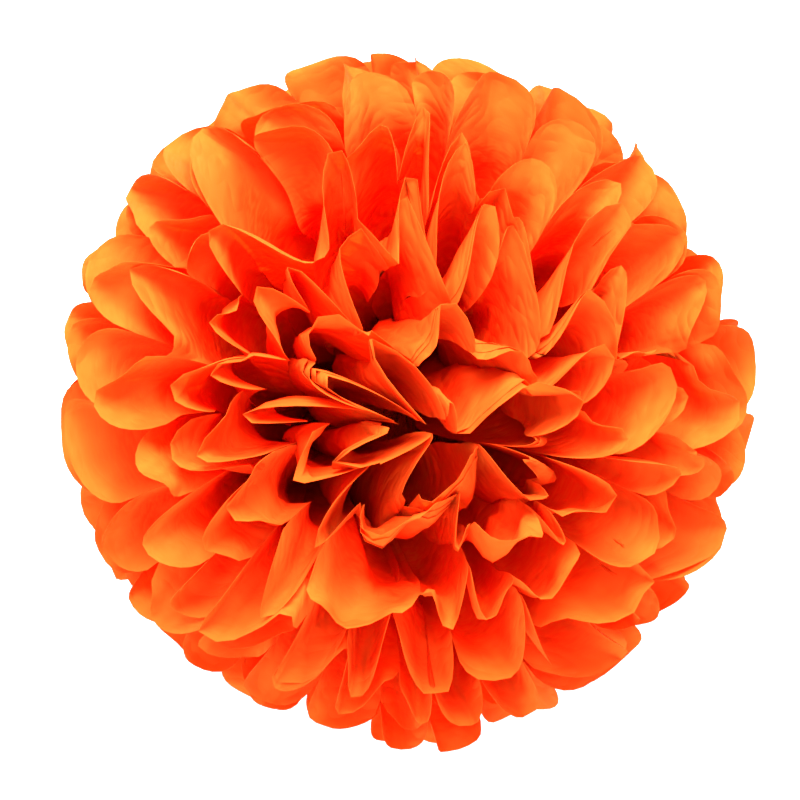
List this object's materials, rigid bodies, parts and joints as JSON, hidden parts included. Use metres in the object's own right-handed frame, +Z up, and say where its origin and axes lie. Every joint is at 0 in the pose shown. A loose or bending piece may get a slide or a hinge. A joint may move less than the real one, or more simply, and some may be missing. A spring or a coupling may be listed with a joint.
{
  "type": "tissue paper pom pom",
  "caption": "Ball of pleated tissue paper tied at the waist with wire and fluffed into ruffled, round-ended petals; it rests on its lowest petals or hangs by the wire.",
  "frame": {"origin": "on the surface the ball stands on, under the middle of the ball", "axes": "+Z up, from the lowest petals to the open flower on top; the gathered waist of every sheet runs along X, and the tie wire's twisted ends point along +Y"},
  "size_m": [0.2506, 0.2483, 0.2422],
  "materials": {
    "tissue": "matte",
    "wire": "satin"
  },
  "bodies": {
    "root": {"tissue_sheet_01": "tissue", "tissue_sheet_02": "tissue", "tissue_sheet_03": "tissue", "tissue_sheet_04": "tissue", "tissue_sheet_05": "tissue", "tissue_sheet_06": "tissue", "tissue_sheet_07": "tissue", "tissue_sheet_08": "tissue", "tissue_sheet_09": "tissue", "tissue_sheet_10": "tissue", "tissue_sheet_11": "tissue", "tissue_sheet_12": "tissue", "tie_wire": "wire"}
  },
  "joints": []
}
